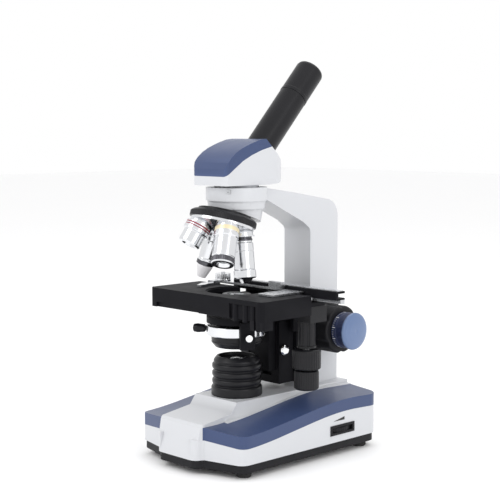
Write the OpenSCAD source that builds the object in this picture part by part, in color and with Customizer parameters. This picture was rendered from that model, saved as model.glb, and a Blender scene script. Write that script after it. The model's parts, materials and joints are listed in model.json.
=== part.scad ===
// Monocular compound microscope, built as an assembly of separate pieces.
// Millimetres, +Z up, +Y towards the arm, the operator's left is -X.
// Working coordinates put the optical axis on X = 0, Y = 0 and the table on Z = 0.
// Every node is then shifted so that the row's origin is the centre of its footprint on the table.

/* [Base] */
// Width of the base
base_w = 135; // [125:1:145]
// Distance from the optical axis to the back of the base
base_back = 122.5; // [120:0.5:135]
// Distance from the optical axis to the front corners of the base
base_front = 57; // [52:1:60]
// How far the nose of the base reaches in front of the optical axis
nose_front = 75; // [72:1:82]
// Height of the rubber feet
foot_h = 5.6; // [4:0.2:8]
// Height of the platform that carries the arm and the lamp
platform_z = 57.5; // [57:0.5:57.5]

/* [Stand] */
// Width of the arm
arm_w = 34; // [30:1:36]
// Distance from the optical axis to the front of the column
column_front = 80; // [79.5:0.5:81]
// Distance from the optical axis to the back of the column
column_back = 118.5; // [114:0.5:119]
// Radius of the round seat under the head
seat_r = 27.8; // [26:0.2:30]

/* [Head] */
// Angle of the eyepiece tube from the vertical
tube_tilt = 43; // [40:1:45]
// Outer radius of the eyepiece tube
tube_r = 13.4; // [13:0.1:14]
// Inner radius of the eyepiece tube
tube_bore_r = 11.6; // [11.5:0.05:11.7]

/* [Nosepiece] */
// Tilt of the revolving nosepiece
turret_tilt = 17; // [15:1:18]
// Turn of the nosepiece away from its click stop
turret_rest = 28; // [0:1:90]
// Radius of the knurled ring of the nosepiece
turret_r = 30.4; // [29:0.2:32]

/* [Stage] */
// Height of the stage's top face
stage_z = 153.3; // [152.8:0.1:153.5]
// Half the width of the stage
stage_half = 73.5; // [70:0.5:76]
// Radius of the hole in the stage
stage_hole_r = 27; // [26.5:0.5:30]

/* [Focus] */
// Radius of the coarse focus knobs
coarse_r = 22.5; // [21:0.5:24]
// Radius of the fine focus knobs
fine_r = 17.4; // [17:0.2:18.6]

/* [Hidden] */
$fn = 64;
bar_end = 96;
jack_out = 1.4;
shift_x = -(bar_end - stage_half) / 2;
shift_y = -(base_back + jack_out - nose_front) / 2;
apex_z = 273;
skirt_z = 13.2;
plate_z = foot_h;
focus_y = 90;
focus_z = 112.5;
coarse_pitch_r = 6;
cond_y = 44;
cond_z = 95;
cond_pitch_r = 5;
drive_x = 58;
drive_y = 31.5;
drive_pitch_r = 4.5;
wing_in = 32;
wing_depth = 11;
ledge_start = -41.7;
wing_slope = 5;
hub_x = -46;
hub_y = 27;
tube_y = 33;
tube_z = 286.2;
seat_screw_turn = 32;

// ---------- shared helpers ----------

module place() {
    translate([shift_x, shift_y, 0])
        children();
}

// Turns a shape so that its +Z runs along +X, centred on the given height and depth.
module along_x(y, z) {
    translate([0, y, z])
        rotate([0, 90, 0])
            children();
}

// Extrudes a side outline, given as [y, z] points, across the width.
module side_profile(points, half) {
    rotate([90, 0, 90])
        translate([0, 0, -half])
            linear_extrude(2 * half)
                polygon(points);
}

// A flat plate between two heights.
module slab(points, z0, z1) {
    translate([0, 0, z0])
        linear_extrude(z1 - z0)
            polygon(points);
}

module block(x0, x1, y0, y1, z0, z1) {
    translate([x0, y0, z0])
        cube([x1 - x0, y1 - y0, z1 - z0]);
}

function arc(cx, cy, r, a0, a1, n) =
    [for (i = [0:n]) [cx + r * cos(a0 + (a1 - a0) * i / n), cy + r * sin(a0 + (a1 - a0) * i / n)]];

function mirror_x(points) =
    [for (i = [len(points) - 1:-1:0]) [-points[i][0], points[i][1]]];

// Straight-flanked teeth round a wheel; the first tooth points at the given angle.
function gear_points(n, rp, m, first) =
    [for (i = [0:n - 1]) for (c = [[-1, 0], [-1, 1], [1, 1], [1, 0]])
        let (r = c[1] == 0 ? rp - 1.1 * m : rp + 0.7 * m)
        let (half = c[1] == 0 ? 0.95 * m : 0.3 * m)
        let (a = first + 360 * i / n + c[0] * half / r * 57.3)
        [r * cos(a), r * sin(a)]];

// Rack teeth along +X that point to +Y, with a gap centred on x = 0.
function rack_points(n0, n1, m, back) =
    concat([[(n1 + 1) * PI * m, -back], [n0 * PI * m, -back]],
        [for (i = [n0:n1]) for (c = [[-0.95, -1], [-0.3, 0.7], [0.3, 0.7], [0.95, -1]])
            [(i + 0.5) * PI * m + c[0] * m, c[1] * m]]);

// ---------- base ----------

function smooth(t) = t < 0 ? 0 : t > 1 ? 1 : t * t * (3 - 2 * t);
function wing_top(y) = 38.3 + 13.4 * smooth((y + 60) / 140) - (y > 85 ? (y - 85) * 0.04 : 0);
function wing_line(drop) = [for (y = [-90:5:135]) [y, wing_top(y) - drop]];

function base_half(i) = concat(
    [[0, -nose_front + i]],
    arc(19, -nose_front + 8, 8 - i * 0.9, -90, -8, 4),
    [[28.5 - i, -66]],
    arc(base_w / 2 - 10, -base_front + 8, 10 - i, -62, 0, 5),
    arc(base_w / 2 - 12, base_back - 12, 12 - i, 0, 90, 6));

function base_outline(i) = concat(base_half(i), [for (p = mirror_x(base_half(i))) if (p[0] < -0.01) p]);

function centre_line(drop) = [[-80, 0], [-nose_front - 0.5, 14], [-68.5 + drop, 41.5 - drop],
    [-66, 44 - drop], [-33, 48.5 - drop], [-26 + drop, platform_z - drop], [140, platform_z - drop], [140, 0]];

// Fills under the swept top line of the right wing, which also rises towards the middle.
module wing_sweep(points) {
    translate([base_w / 2, 0, 45])
        rotate([0, wing_slope, 0])
            translate([-base_w / 2, 0, -45])
                side_profile(points, 80);
}

module wing_block(x0, x1, inset, drop, z0) {
    for (s = [0, 1])
        mirror([s, 0, 0])
            intersection() {
                slab(base_outline(inset), z0, 70);
                wing_sweep(concat(wing_line(drop), [[140, -10], [-90, -10]]));
                block(x0, x1, -90, 140, 0, 70);
            }
}

module centre_block(half, inset, drop, z0) {
    intersection() {
        slab(base_outline(inset), z0, 70);
        side_profile(centre_line(drop), half);
    }
}

module base_shell() {
    color("whitesmoke")
        difference() {
            union() {
                wing_block(20, 80, 0, wing_depth, skirt_z);
                centre_block(27.5, 0, 0, skirt_z);
                intersection() {
                    wing_block(26, wing_in, 0, -0.6, skirt_z);
                    block(-40, 40, ledge_start, 140, 0, 70);
                }
            }
            difference() {
                union() {
                    wing_block(10, 80, 3, wing_depth + 3, skirt_z - 1);
                    centre_block(24, 3, 4, skirt_z - 1);
                }
                for (x = [-52, 52], y = [-38, 102])
                    translate([x, y, 0])
                        cylinder(r = 4, h = 60);
            }
            for (x = [-52, 52], y = [-38, 102])
                translate([x, y, 0])
                    cylinder(r = 1.55, h = 18);
            translate([0, 0, 40])
                cylinder(r = 14, h = 30);
            block(50, 80, 55, 85, 21, 28);
            translate([-30, base_back - 8, 25])
                rotate([-90, 0, 0])
                    cylinder(r = 4.2, h = 20);
            for (x = [-9, 9])
                translate([x, 99, 46])
                    cylinder(r = 2.6, h = 20);
        }
}

module base_plate() {
    color("black")
        difference() {
            slab(base_outline(1.5), plate_z, skirt_z);
            difference() {
                slab(base_outline(4), plate_z + 2.6, skirt_z + 1);
                for (x = [-52, 52], y = [-38, 102])
                    translate([x, y, 0])
                        cylinder(r = 4, h = 30);
            }
            for (x = [-52, 52], y = [-38, 102])
                translate([x, y, 0]) {
                    cylinder(r = 1.8, h = 20);
                    cylinder(r = 3.6, h = plate_z + 2);
                }
            for (x = [-40:10:40])
                block(x - 1.5, x + 1.5, 30, 60, 0, 20);
        }
}

module wing_cover() {
    difference() {
        intersection() {
            slab(base_outline(0), 20, 70);
            wing_sweep(concat(wing_line(0), [for (i = [45:-1:0]) wing_line(wing_depth)[i]]));
            union() {
                block(wing_in, 80, -90, 140, 0, 70);
                block(27.5, 80, -90, ledge_start, 0, 70);
            }
        }
        intersection() {
            slab(base_outline(2.6), 10, 70);
            wing_sweep(concat(wing_line(2.6), [for (i = [45:-1:0]) wing_line(wing_depth + 5)[i]]));
            block(wing_in + 2.6, 80, -90, 140, 0, 70);
        }
    }
}

module wing_cover_left() {
    color("steelblue")
        mirror([1, 0, 0])
            wing_cover();
}

module wing_cover_right() {
    color("steelblue")
        wing_cover();
}

module feet() {
    color("black")
        for (x = [-55, 55], y = [-44, 108])
            translate([x, y, 0]) {
                cylinder(r1 = 5.8, r2 = 6.6, h = 1);
                translate([0, 0, 1])
                    cylinder(r = 6.6, h = foot_h - 1);
            }
}

module base_screws() {
    color("silver")
        for (x = [-9, 9])
            translate([x, 99, platform_z - 7.6]) {
                cylinder(r = 4.4, h = 3.5);
                cylinder(r = 2.05, h = 20);
            }
    color("silver")
        for (x = [-52, 52], y = [-38, 102])
            translate([x, y, plate_z + 0.2])
                difference() {
                    union() {
                        cylinder(r = 3.2, h = 1.8);
                        cylinder(r = 1.5, h = 11);
                    }
                    translate([0, 0, -0.1]) {
                        translate([-2.4, -0.4, 0])
                            cube([4.8, 0.8, 1.1]);
                        translate([-0.4, -2.4, 0])
                            cube([0.8, 4.8, 1.1]);
                    }
                }
}

// ---------- lamp and electrics ----------

module collector_housing() {
    color("black")
        translate([0, 0, platform_z])
            difference() {
                rotate_extrude()
                    polygon([[13, 0], [23, 0], [23.4, 1], [23.4, 7.5], [22.6, 8.5], [20.8, 9], [20.8, 10.4],
                        [22.4, 11], [22.6, 12], [22.4, 15.4], [20.6, 16], [20.6, 17.4], [22.2, 18],
                        [22.4, 19], [22.2, 22.2], [20.4, 22.8], [20.4, 24.2], [21.8, 24.8], [22, 25.8],
                        [21.8, 28.4], [20.2, 29], [20.2, 29.8], [21.2, 30.2], [18.6, 36], [16.6, 36],
                        [16.6, 33.4], [15.4, 32], [15.4, 6], [13, 4]]);
                for (a = [90:120:330])
                    rotate([0, 0, a])
                        translate([17, 0, 4.5])
                            rotate([0, 90, 0])
                                cylinder(r = 1.2, h = 10);
            }
}

module collector_lens() {
    color("lightcyan", 0.5)
        translate([0, 0, platform_z + 24])
            intersection() {
                cylinder(r = 15.3, h = 12);
                translate([0, 0, -11])
                    sphere(r = 21.5);
            }
}

module lamp_board() {
    color("darkgreen")
        union() {
            translate([0, 0, 44])
                cylinder(r = 19.5, h = 1.6);
            for (a = [30:120:300])
                rotate([0, 0, a])
                    translate([16.9, 0, 45])
                        cylinder(r = 1.8, h = platform_z - 49);
        }
    color("khaki")
        translate([0, 0, 45.6])
            cylinder(r = 4, h = 1.6);
    color("silver")
        translate([0, 0, 36])
            difference() {
                cylinder(r = 13.5, h = 8);
                for (x = [-12:4:12])
                    block(x - 1, x + 1, -20, 20, -1, 5);
            }
}

module driver_board() {
    color("darkgreen") {
        block(-46, -6, 66, 106, 12, 13.6);
        for (x = [-43, -9], y = [69, 103])
            translate([x, y, plate_z + 2.6])
                cylinder(r = 2, h = 4);
    }
    color("black") {
        block(-40, -30, 72, 82, 13.6, 17);
        translate([-18, 76, 13.6])
            cylinder(r = 5, h = 9);
        translate([-18, 92, 13.6])
            cylinder(r = 4, h = 7);
        block(-38, -28, 92, 99, 13.6, 19);
    }
    color("dimgray") {
        block(34, 48, 62, 78, plate_z + 2.6, 19);
        translate([46, 70, 19])
            cylinder(r = 3, h = 8.5);
    }
}

module power_jack() {
    color("black")
        difference() {
            union() {
                translate([-30, base_back - 14, 25])
                    rotate([-90, 0, 0])
                        cylinder(r = 4.1, h = 13);
                translate([-30, base_back, 25])
                    rotate([-90, 0, 0])
                        cylinder(r = 5.6, h = jack_out);
                block(-35, -25, base_back - 18, base_back - 5, 20, 30);
            }
            translate([-30, base_back - 10, 25])
                rotate([-90, 0, 0])
                    cylinder(r = 2.75, h = 20);
        }
    color("silver")
        translate([-30, base_back - 10, 25])
            rotate([-90, 0, 0])
                cylinder(r = 1, h = 9);
}

module wheel_bezel() {
    color("black")
        difference() {
            union() {
                block(64.9, base_w / 2 + 0.8, 55.05, 84.95, 21.05, 27.95);
                block(base_w / 2, base_w / 2 + 0.8, 53.5, 86.5, 19.8, 29.2);
            }
            block(60, 80, 56.2, 83.8, 22.2, 26.8);
        }
}

module brightness_wheel() {
    color("dimgray")
        translate([46, 70, 0])
            difference() {
                translate([0, 0, 22.6])
                    cylinder(r = 23, h = 3.8);
                translate([0, 0, 22])
                    cylinder(r = 3.05, h = 4.6);
                for (a = [0:7.5:359])
                    rotate([0, 0, a])
                        translate([23.3, 0, 22])
                            cylinder(r = 0.8, h = 6, $fn = 16);
                for (a = [30:60:330])
                    rotate([0, 0, a])
                        translate([12, 0, 22])
                            cylinder(r = 4, h = 6);
            }
}

// ---------- arm ----------

module arm_outline() {
    side_profile(concat(
        [[0, 247.4], [20, 246.6], [60, 240.6], [101, 233.6]],
        arc(101, 216, 17.5, 90, 0, 8),
        [[column_back, platform_z], [column_front, platform_z], [column_front, 203.5],
            [78.5, 207], [70, 213], [22, 235.6], [0, 235.6]]), arm_w / 2);
}

module arm() {
    color("whitesmoke")
        difference() {
            union() {
                arm_outline();
                translate([0, 0, 235.6])
                    cylinder(r = seat_r, h = 11.8);
                translate([0, 0, 228.5])
                    cylinder(r1 = seat_r - 2, r2 = seat_r - 1.3, h = 7.2);
                translate([0, 0, 205])
                    cylinder(r1 = 20, r2 = seat_r - 2.4, h = 30.6);
            }
            translate([0, 0, apex_z])
                rotate([-turret_tilt, 0, 0])
                    translate([-60, -60, -150])
                        cube([120, 120, 100]);
            translate([0, 0, 200])
                cylinder(r = 10.5, h = 60);
            translate([0, 0, 241.4])
                cylinder(r = 20.3, h = 10);
            rotate([0, 0, seat_screw_turn])
                translate([0, -19.5, 244.2])
                    rotate([90, 0, 0])
                        cylinder(r = 2.1, h = 12);
            block(-8.5, 8.5, 70, 88, 66, 146);
            block(-12.5, 12.5, 76, 80.5, 66, 146);
            along_x(focus_y, focus_z)
                translate([0, 0, -10])
                    cylinder(r = 8, h = 20);
            along_x(focus_y, focus_z)
                translate([0, 0, -40])
                    cylinder(r = 5.05, h = 80);
            for (x = [-9, 9])
                translate([x, 99, 50])
                    cylinder(r = 2.1, h = 24);
            block(-11, 11, 98, 113, 130, 205);
        }
}

module bearing_blocks() {
    color("black")
        for (s = [-1, 1])
            difference() {
                union() {
                    block(min(s * 17.1, s * 22), max(s * 17.1, s * 22), 74, 115, 97, 141);
                    along_x(focus_y, focus_z)
                        translate([0, 0, s > 0 ? 22 : -25])
                            cylinder(r = 13, h = 3);
                }
                along_x(focus_y, focus_z)
                    translate([0, 0, s > 0 ? 10 : -40])
                        cylinder(r = 5.05, h = 30);
            }
}

module seat_screw() {
    color("dimgray")
        rotate([0, 0, seat_screw_turn])
            translate([0, -20.5, 244.2])
                rotate([90, 0, 0])
                    difference() {
                        cylinder(r = 2, h = 8.3);
                        translate([0, 0, 6.6])
                            cylinder(r = 1.1, h = 3, $fn = 6);
                    }
}

// ---------- nosepiece ----------

module turret_frame() {
    translate([0, 0, apex_z])
        rotate([-turret_tilt, 0, 0])
            children();
}

module objective_frame(k) {
    turret_frame()
        rotate([0, 0, -turret_rest - 90 * k])
            rotate([turret_tilt, 0, 0])
                children();
}

module nosepiece_mount() {
    color("dimgray")
        difference() {
            turret_frame() {
                translate([0, 0, -54.7])
                    cylinder(r = 24, h = 4.7);
                translate([0, 0, -71.4])
                    cylinder(r = 3.4, h = 18);
                translate([0, 0, -73.4])
                    cylinder(r = 5.6, h = 2.4);
                translate([-4, 21, -57.4])
                    cube([8, 3, 4]);
            }
            translate([0, 0, 180])
                cylinder(r = 9.5, h = 60);
        }
}

module turret_ring() {
    color("black")
        turret_frame()
            difference() {
                union() {
                    translate([0, 0, -59.4])
                        cylinder(r = turret_r, h = 5);
                    translate([0, 0, -54.4])
                        cylinder(r1 = turret_r, r2 = turret_r - 2.6, h = 2);
                }
                translate([0, 0, -63])
                    cylinder(r = 26, h = 14);
                for (a = [0:6:359])
                    rotate([0, 0, a])
                        translate([turret_r + 0.25, 0, -70])
                            cylinder(r = 0.75, h = 20, $fn = 12);
            }
}

module turret_cone() {
    color("silver")
        difference() {
            turret_frame()
                rotate_extrude()
                    polygon([[3.45, -64.5], [8, -64.5], [14, -63], [21.5, -58], [25.1, -58],
                        [25.1, -59.5], [29, -59.5], [29, -61.8], [8, -70.7], [3.45, -70.7]]);
            for (k = [0:3])
                objective_frame(k)
                    translate([0, 0, -75])
                        cylinder(r = 10.1, h = 22);
        }
}

module revolve(points) {
    rotate_extrude()
        polygon(points);
}

module objective_4x() {
    color("silver")
        objective_frame(2)
            revolve([[6, -65], [9, -65], [10, -66], [10, -70], [12.1, -70], [12.1, -71], [11.6, -71.4],
                [11.6, -73.2], [12.1, -73.6], [12.1, -77], [11.6, -77.6], [10.2, -78.2], [10.2, -88.6],
                [9.4, -90], [6.4, -90], [5.4, -87], [5.4, -68], [6, -68]]);
}

module objective_10x() {
    color("silver")
        objective_frame(1)
            revolve([[6, -65], [9, -65], [10, -66], [10, -70], [10.8, -70], [10.8, -73.4], [10.4, -74],
                [11.2, -74.6], [11.2, -78.4], [10.2, -79.2], [10.2, -97], [9.6, -97.4], [9.6, -98.2],
                [10.4, -98.8], [10.4, -103], [9.6, -104], [6.6, -104], [4.6, -101], [4.6, -68], [6, -68]]);
}

module objective_40x() {
    color("silver")
        objective_frame(0)
            revolve([[5, -65], [9, -65], [10, -66], [10, -70], [11.2, -70], [11.2, -71.2], [8.4, -71.6],
                [8.4, -73], [8.9, -73.4], [8.9, -74.6], [8.4, -75], [8.4, -76.2], [9.6, -76.8],
                [9.6, -100], [9.2, -100.4], [10.3, -101.2], [10.3, -107.4], [9.6, -108.4], [7, -108.8],
                [4.6, -112.9], [2.4, -112.9], [1.6, -112.3], [1.6, -109], [4, -104], [4, -68], [5, -68]]);
}

module objective_100x() {
    color("silver")
        objective_frame(3)
            revolve([[5, -65], [9, -65], [10, -66], [10, -70], [10.6, -70], [10.6, -73], [9.6, -73.6],
                [9.6, -77.4], [8.2, -78.4], [7.7, -97.4], [8.4, -97.8], [8.4, -101], [7.6, -101.6],
                [7.4, -103.6], [4, -113.5], [1.9, -113.5], [1.2, -113], [1.2, -110], [3.6, -104],
                [3.6, -68], [5, -68]]);
}

module front_lenses() {
    color("lightcyan", 0.5) {
        objective_frame(2)
            translate([0, 0, -86.8])
                cylinder(r = 5.35, h = 3);
        objective_frame(1)
            translate([0, 0, -100.8])
                cylinder(r = 4.55, h = 3);
        objective_frame(0)
            translate([0, 0, -112])
                cylinder(r = 1.55, h = 2);
        objective_frame(3)
            translate([0, 0, -112.8])
                cylinder(r = 1.15, h = 2);
    }
}

// ---------- head and eyepiece ----------

function lower_split() = [[-33.6, 257.7], [-25.2, 263.4], [-13.1, 271.4], [-2, 276.5], [10.5, 280.8], [23.2, 283.8]];
function head_top(d) = [[16 - d * 0.7, 290.6 - d], [8, 289.8 - d], [0, 287.6 - d], [-7, 285.3 - d],
    [-14 + d * 0.3, 282.6 - d], [-21 + d * 0.5, 279 - d], [-27 + d * 0.7, 274.5 - d], [-31 + d * 0.9, 270 - d * 0.7],
    [-33.3 + d, 264.5 - d * 0.2], [-33.6 + d, 257.7]];

function head_half(i) = concat(
    arc(18.3, -29.5, 4 - i, 270, 360, 4),
    [[22.3 - i, 30], [20.8 - i * 0.9, 35.5 - i * 0.3], [17.2 - i * 0.75, 40 - i * 0.65], [11 - i * 0.4, 43.4 - i * 0.9]]);

function head_plan(i) = concat(head_half(i), mirror_x(head_half(i)));

module tube_frame() {
    translate([0, tube_y, tube_z])
        rotate([-tube_tilt, 0, 0])
            children();
}

module head_body() {
    color("whitesmoke")
        difference() {
            union() {
                intersection() {
                    slab(head_plan(0), 240, 310);
                    side_profile(concat([[-35, 249.6], [20, 249.6], [32, 250.6], [44, 254], [44, 264.4]],
                        [for (i = [5:-1:0]) lower_split()[i]]), 40);
                }
                intersection() {
                    slab(head_plan(3), 240, 310);
                    side_profile(concat([[0, 252], [30, 252], [30, 273]], head_top(3.2), [[-30.4, 252]]), 40);
                }
                translate([0, 0, 241.8])
                    cylinder(r = 20, h = 8);
            }
            translate([0, 0, 235])
                cylinder(r = 10, h = 20);
            block(-13, 13, -11, 15, 251, 273);
            tube_frame()
                translate([0, 0, -24.2])
                    cylinder(r = tube_r + 0.02, h = 60);
            tube_frame()
                translate([0, 0, -42])
                    cylinder(r = 10.5, h = 40);
        }
}

module head_cover() {
    color("steelblue")
        difference() {
            intersection() {
                slab(head_plan(0), 240, 310);
                side_profile(concat(head_top(0), [for (i = [1:5]) lower_split()[i]]), 40);
            }
            intersection() {
                slab(head_plan(2.9), 230, 320);
                side_profile(concat(head_top(3), [[-30.6, 200], [60, 200], [60, 250]]), 40);
            }
            tube_frame()
                translate([0, 0, -20])
                    cylinder(r = tube_r + 0.15, h = 60);
        }
}

module prism() {
    color("lightcyan", 0.5)
        side_profile([[-9.5, 251.3], [9.5, 251.3], [13, 262], [5, 270], [-9.5, 262]], 10);
}

module eyepiece_tube() {
    color("black")
        tube_frame()
            difference() {
                translate([0, 0, -24])
                    cylinder(r = tube_r, h = 82.2);
                translate([0, 0, -25])
                    cylinder(r = tube_bore_r, h = 100);
            }
}

module eyepiece() {
    color("black")
        tube_frame()
            revolve([[9.6, 28], [tube_bore_r - 0.06, 28], [tube_bore_r - 0.06, 58.3], [tube_r + 0.1, 58.3],
                [tube_r + 0.3, 58.6], [tube_r + 0.3, 61.4], [tube_r + 0.1, 62], [tube_r + 0.1, 91.6],
                [tube_r - 0.8, 93.6], [11.4, 93.6], [8, 90.4], [8, 86], [9.6, 84]]);
}

module eye_lens() {
    color("lightcyan", 0.5)
        tube_frame() {
            translate([0, 0, 87])
                cylinder(r = 7.95, h = 3);
            translate([0, 0, 32])
                cylinder(r = 9.5, h = 3);
        }
}

// ---------- focus mechanism ----------

module focus_slide() {
    color("dimgray")
        difference() {
            union() {
                block(-12.2, 12.2, 70, 80.2, 72, 140);
                block(-8.2, 8.2, 79, 82, 72, 140);
                block(-16, 16, 70, 76, 72, 140);
            }
            block(-6.3, 6.3, 69, 73.3, 66, 150);
        }
}

module focus_rack() {
    color("gold")
        translate([0, focus_y - coarse_pitch_r, focus_z])
            rotate([0, 90, 0])
                translate([0, 0, -5])
                    linear_extrude(10)
                        polygon(rack_points(-7, 6, 1, 2));
}

module coarse_shaft() {
    color("silver")
        along_x(focus_y, focus_z)
            difference() {
                union() {
                    translate([0, 0, -46])
                        cylinder(r = 5, h = 92);
                    translate([0, 0, -6])
                        linear_extrude(12)
                            polygon(gear_points(12, coarse_pitch_r, 1, 270));
                }
                translate([0, 0, -50])
                    cylinder(r = 2.55, h = 100);
            }
}

module coarse_knob() {
    difference() {
        revolve([[5, 25.6], [18, 25.6], [20.4, 26.6], [coarse_r - 0.6, 28], [coarse_r, 28.8],
            [coarse_r, 47.8], [coarse_r - 1.4, 49.2], [15.2, 49.2], [15.2, 46.6], [5, 46.6]]);
        for (a = [0:60:300])
            rotate([0, 0, a])
                translate([coarse_r + 5.4, 0, 20])
                    cylinder(r = 7, h = 40);
        cylinder(r = 5.005, h = 60);
    }
}

module coarse_knob_right() {
    color("black")
        along_x(focus_y, focus_z)
            coarse_knob();
}

module coarse_knob_left() {
    color("black")
        along_x(focus_y, focus_z)
            mirror([0, 0, 1])
                coarse_knob();
}

module fine_shaft() {
    color("silver")
        along_x(focus_y, focus_z)
            translate([0, 0, -60])
                cylinder(r = 2.5, h = 120);
}

module fine_knob() {
    difference() {
        revolve([[2.505, 49.6], [fine_r - 1.2, 49.6], [fine_r - 0.6, 50.2], [fine_r - 0.6, 54.8],
            [fine_r - 1.2, 55.4], [fine_r - 0.8, 56.2], [fine_r - 0.4, 62.6], [fine_r, 63.2],
            [fine_r, 63.8], [fine_r - 1, 64.9], [fine_r * 0.8, 65.7], [fine_r * 0.5, 66.4], [0, 66.7],
            [0, 60.2], [2.505, 60.2]]);
        for (a = [0:7.2:359])
            rotate([0, 0, a])
                translate([fine_r - 0.9, -0.22, 51])
                    cube([2, 0.44, a % 36 == 0 ? 3.2 : 2]);
    }
}

module fine_knob_right() {
    color("steelblue")
        along_x(focus_y, focus_z)
            fine_knob();
}

module fine_knob_left() {
    color("steelblue")
        along_x(focus_y, focus_z)
            mirror([0, 0, 1])
                fine_knob();
}

module stage_bracket() {
    color("dimgray")
        difference() {
            union() {
                block(-20, 20, 58, 69.7, 63, 137.2);
                block(-6, 6, 69, 73, 66, 136);
                block(-16, 16, 39.2, 58, 63, 122);
                block(-32, 32, 44, 69.7, 131, 137.4);
                for (x = [-24, 20])
                    block(x, x + 4, 50, 69.7, 112, 131);
            }
            along_x(cond_y, cond_z)
                translate([0, 0, -30])
                    cylinder(r = 3.05, h = 60);
            along_x(cond_y, cond_z)
                translate([0, 0, -6])
                    cylinder(r = 6.6, h = 12);
            block(-6, 6, 30, 43, 70, 130);
            block(-9, 9, 41.5, 66, 100, 126);
        }
}

module stage_plate() {
    color("dimgray")
        difference() {
            union() {
                slab([[-50, -22], [50, -22], [50, 50], [30, 68], [-30, 68], [-50, 50]], 137.4, 142);
                for (x = [-46, 40])
                    block(x, x + 6, -20, 6.5, 142, 147.9);
            }
            translate([0, 0, 130])
                cylinder(r = 24, h = 20);
        }
}

module y_rack() {
    color("gold")
        translate([drive_x - drive_pitch_r, drive_y, 138])
            rotate([0, 0, -90])
                linear_extrude(3.4)
                    polygon(rack_points(-8, 7, 0.75, 3.4));
}

// ---------- mechanical stage ----------

function stage_outline(i, back) = concat(
    [[-stage_half + i, back]],
    arc(-stage_half + 5, -36.5, 5 - i, 180, 270, 3),
    arc(stage_half - 5, -36.5, 5 - i, -90, 0, 4),
    [[stage_half - i, back]]);

// The solid block that hangs under the front right corner.
stage_lug = concat(arc(stage_half - 5, -36.5, 4.8, -90, 0, 4),
    [[stage_half - 0.2, -27], [stage_half - 14, -27], [stage_half - 14, -41.3]]);

module stage_top() {
    color("black")
        difference() {
            union() {
                difference() {
                    slab(stage_outline(0, 21), 135.8, stage_z);
                    slab(stage_outline(4, 30), 120, 148.3);
                    block(34, 66.6, -43, -39.1, 130, 149);
                }
                slab(stage_lug, 128, 137);
                for (x = [39.5, 52])
                    translate([x, -38.2, 134])
                        cylinder(r = 3.2, h = 16);
                translate([61.6, -39, 130])
                    cylinder(r = 2.3, h = 20);
            }
            translate([0, 0, 140])
                cylinder(r = stage_hole_r, h = 30);
            translate([0, 0, stage_z - 1.2])
                cylinder(r = stage_hole_r + 1.6, h = 5);
            block(64.4, 66.6, -43, -39.1, 120, 149);
            translate([0, -42.5, 0])
                block(-64, -6, 0, 3, 130, 140.4);
        }
}

module bar_guide() {
    color("dimgray")
        difference() {
            union() {
                block(-30, 69, 21.2, 43.5, 142.3, 146);
                block(-30, 69, 40.4, 43.5, 146, 155.7);
                block(-10, 64, 32, 41, 152.3, 155.7);
                block(-66, 66, 19, 21.2, 143, 148.2);
            }
            translate([0, 12, 140])
                cylinder(r = 17, h = 12);
            translate([drive_x, drive_y, 140])
                cylinder(r = 2.6, h = 10);
        }
}

module control_housing() {
    color("black")
        difference() {
            union() {
                block(50.5, 69, 24.5, 46, 127.6, 136.9);
                block(64.6, 69, 24.5, 46, 127.6, 142.2);
                translate([drive_x, drive_y, 104])
                    cylinder(r = 7.9, h = 24);
                translate([drive_x, drive_y, 104])
                    cylinder(r = 8.6, h = 2);
            }
            for (a = [12:45:350])
                translate([drive_x, drive_y, 106])
                    rotate([0, 0, a])
                        translate([8.3, 0, 0])
                            cylinder(r = 1.2, h = 21.4, $fn = 16);
            translate([drive_x, drive_y, 90])
                cylinder(r = 4.05, h = 60);
        }
}

module y_shaft() {
    color("silver")
        translate([drive_x, drive_y, 0])
            difference() {
                union() {
                    translate([0, 0, 86])
                        cylinder(r = 4, h = 52);
                    translate([0, 0, 137.8])
                        linear_extrude(4)
                            polygon(gear_points(12, drive_pitch_r, 0.75, 180));
                }
                translate([0, 0, 80])
                    cylinder(r = 2.55, h = 70);
            }
}

module ribbed_knob(r, z0, z1, bore) {
    difference() {
        translate([0, 0, z0])
            revolve([[bore, 0], [r - 1.4, 0], [r, 1.2], [r, z1 - z0 - 1.4], [r - 1.2, z1 - z0], [bore, z1 - z0]]);
        for (a = [0:15:359])
            rotate([0, 0, a])
                translate([r + 0.35, 0, z0 + 1.6])
                    cylinder(r = 0.9, h = z1 - z0 - 3.4, $fn = 16);
    }
}

module y_knob() {
    color("black")
        translate([drive_x, drive_y, 0])
            ribbed_knob(13.1, 84.6, 103, 4.005);
}

module x_shaft() {
    color("silver")
        translate([drive_x, drive_y, 0]) {
            translate([0, 0, 68])
                cylinder(r = 2.5, h = 80);
            translate([0, 0, 146.3])
                linear_extrude(3.7)
                    polygon(gear_points(12, drive_pitch_r, 0.75, 90));
        }
}

module x_knob() {
    color("black")
        translate([drive_x, drive_y, 0])
            difference() {
                ribbed_knob(11.3, 66, 83.6, 0);
                translate([0, 0, 67.99])
                    cylinder(r = 2.505, h = 30);
            }
}

module x_bar() {
    color("black")
        difference() {
            block(-34, bar_end, 28.5, 39.9, 150.3, 158);
            block(-40, 100, 31.2, 50, 152, 156);
        }
}

module x_rack() {
    color("silver")
        translate([drive_x, drive_y + drive_pitch_r, 146.6])
            mirror([0, 1, 0])
                linear_extrude(3.7)
                    polygon(rack_points(-16, 15, 0.75, 3.8));
}

module scale_strip() {
    color("gainsboro")
        difference() {
            block(-30, 95, 30.5, 38, 158, 158.8);
            for (x = [-24:2:92])
                block(x, x + 0.35, 30, x % 10 == 0 ? 35 : 32.6, 158.5, 160);
        }
}

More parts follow.
